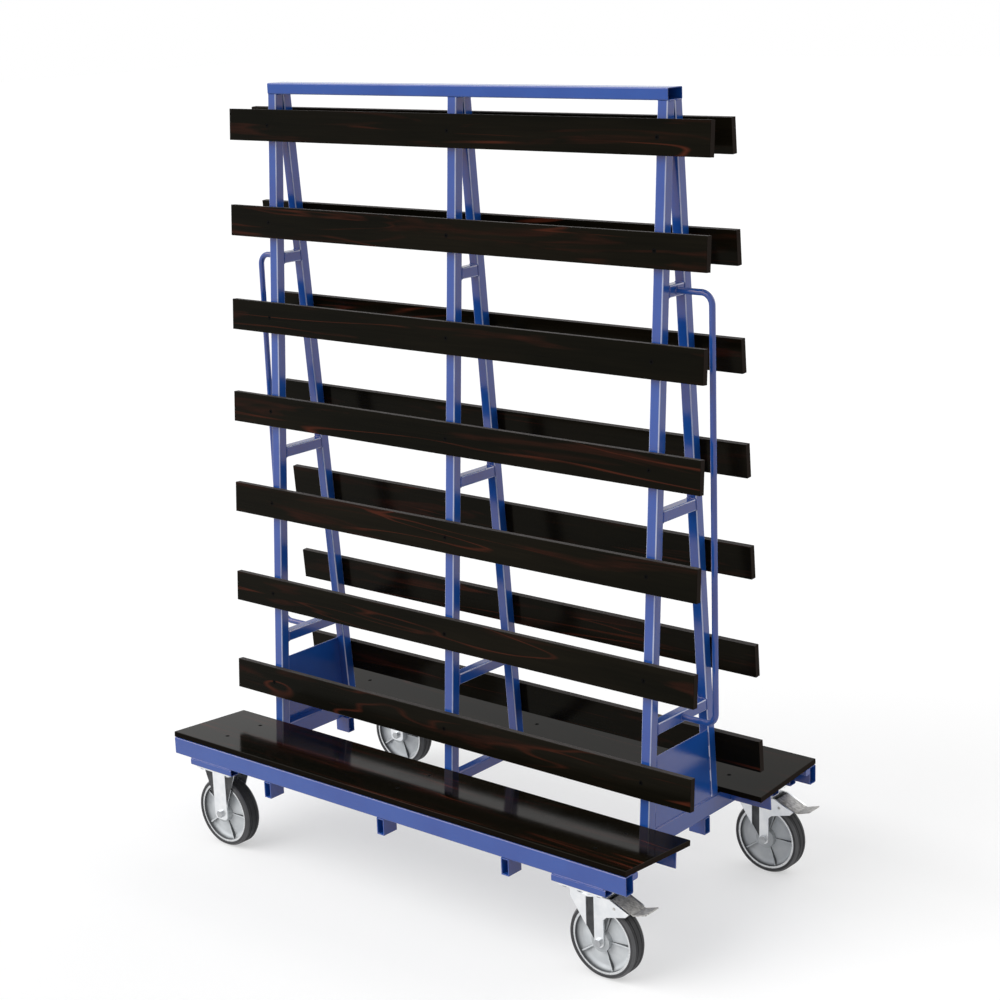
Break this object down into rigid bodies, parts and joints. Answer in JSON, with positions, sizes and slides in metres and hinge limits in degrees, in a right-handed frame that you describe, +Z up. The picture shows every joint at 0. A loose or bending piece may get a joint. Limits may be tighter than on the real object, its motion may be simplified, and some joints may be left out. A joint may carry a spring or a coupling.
{
  "type": "sheet goods cart",
  "caption": "Two-sided A-frame cart that carries sheet goods on edge: leaning slatted sides, sloped decks, end push handles, fixed castors at one end and braked swivel castors at the other.",
  "frame": {"origin": "on the floor, midway between the ends of the rails and midway between the two rails", "axes": "+X along the rails towards the braked swivel castors, +Y towards the rear deck, +Z up"},
  "size_m": [1.6385, 0.862, 2.125],
  "materials": {
    "blue_coat": "satin powder coat",
    "film_ply": "glossy phenolic film",
    "dark_screws": "black oxide",
    "bright_zinc": "bright zinc plate",
    "pedal_steel": "satin zinc plate",
    "hub_alloy": "cast, satin",
    "tyre_rubber": "matt"
  },
  "bodies": {
    "frame": {"board_screws": "dark_screws", "castor_bolts": "bright_zinc", "castor_pads": "blue_coat", "centre_cross_member": "blue_coat", "centre_front_upright": "blue_coat", "centre_rear_upright": "blue_coat", "fixed_axles": "bright_zinc", "front_deck": "film_ply", "front_deck_angle": "blue_coat", "front_left_fork": "bright_zinc", "front_rail": "blue_coat", "front_right_swivel_plate": "bright_zinc", "front_slat_1": "film_ply", "front_slat_2": "film_ply", "front_slat_3": "film_ply", "front_slat_4": "film_ply", "front_slat_5": "film_ply", "front_slat_6": "film_ply", "front_slat_7": "film_ply", "lashing_eyes": "blue_coat", "left_cross_member": "blue_coat", "left_end_panel": "blue_coat", "left_front_upright": "blue_coat", "left_handle": "blue_coat", "left_rear_upright": "blue_coat", "lower_rungs": "blue_coat", "middle_rungs": "blue_coat", "rear_deck": "film_ply", "rear_deck_angle": "blue_coat", "rear_left_fork": "bright_zinc", "rear_rail": "blue_coat", "rear_right_swivel_plate": "bright_zinc", "rear_slat_1": "film_ply", "rear_slat_2": "film_ply", "rear_slat_3": "film_ply", "rear_slat_4": "film_ply", "rear_slat_5": "film_ply", "rear_slat_6": "film_ply", "rear_slat_7": "film_ply", "right_cross_member": "blue_coat", "right_end_panel": "blue_coat", "right_front_upright": "blue_coat", "right_handle": "blue_coat", "right_rear_upright": "blue_coat", "top_bar": "blue_coat", "upper_rungs": "blue_coat"},
    "front_left_wheel": {"front_left_hub": "hub_alloy", "front_left_tyre": "tyre_rubber"},
    "front_right_swivel": {"front_right_fork": "bright_zinc", "front_right_axle": "bright_zinc"},
    "front_right_wheel": {"front_right_hub": "hub_alloy", "front_right_tyre": "tyre_rubber"},
    "front_right_pedal": {"front_right_brake_pedal": "pedal_steel"},
    "rear_left_wheel": {"rear_left_hub": "hub_alloy", "rear_left_tyre": "tyre_rubber"},
    "rear_right_swivel": {"rear_right_fork": "bright_zinc", "rear_right_axle": "bright_zinc"},
    "rear_right_wheel": {"rear_right_hub": "hub_alloy", "rear_right_tyre": "tyre_rubber"},
    "rear_right_pedal": {"rear_right_brake_pedal": "pedal_steel"}
  },
  "joints": [
    {"name": "front_left_spin", "type": "hinge", "parent": "frame", "child": "front_left_wheel", "pos_m": [-0.655, -0.371, 0.1], "axis": [0, 1, 0], "continuous": true},
    {"name": "front_right_swivel_turn", "type": "hinge", "parent": "frame", "child": "front_right_swivel", "pos_m": [0.655, -0.371, 0.222], "axis": [0, 0, 1], "continuous": true},
    {"name": "front_right_spin", "type": "hinge", "parent": "front_right_swivel", "child": "front_right_wheel", "pos_m": [0.695, -0.371, 0.1], "axis": [0, 1, 0], "continuous": true},
    {"name": "front_right_brake", "type": "hinge", "parent": "front_right_swivel", "child": "front_right_pedal", "pos_m": [0.743, -0.371, 0.202], "axis": [0, 1, 0], "range_deg": [0, 15]},
    {"name": "rear_left_spin", "type": "hinge", "parent": "frame", "child": "rear_left_wheel", "pos_m": [-0.655, 0.371, 0.1], "axis": [0, 1, 0], "continuous": true},
    {"name": "rear_right_swivel_turn", "type": "hinge", "parent": "frame", "child": "rear_right_swivel", "pos_m": [0.655, 0.371, 0.222], "axis": [0, 0, 1], "continuous": true},
    {"name": "rear_right_spin", "type": "hinge", "parent": "rear_right_swivel", "child": "rear_right_wheel", "pos_m": [0.695, 0.371, 0.1], "axis": [0, 1, 0], "continuous": true},
    {"name": "rear_right_brake", "type": "hinge", "parent": "rear_right_swivel", "child": "rear_right_pedal", "pos_m": [0.743, 0.371, 0.202], "axis": [0, 1, 0], "range_deg": [0, 15]}
  ]
}
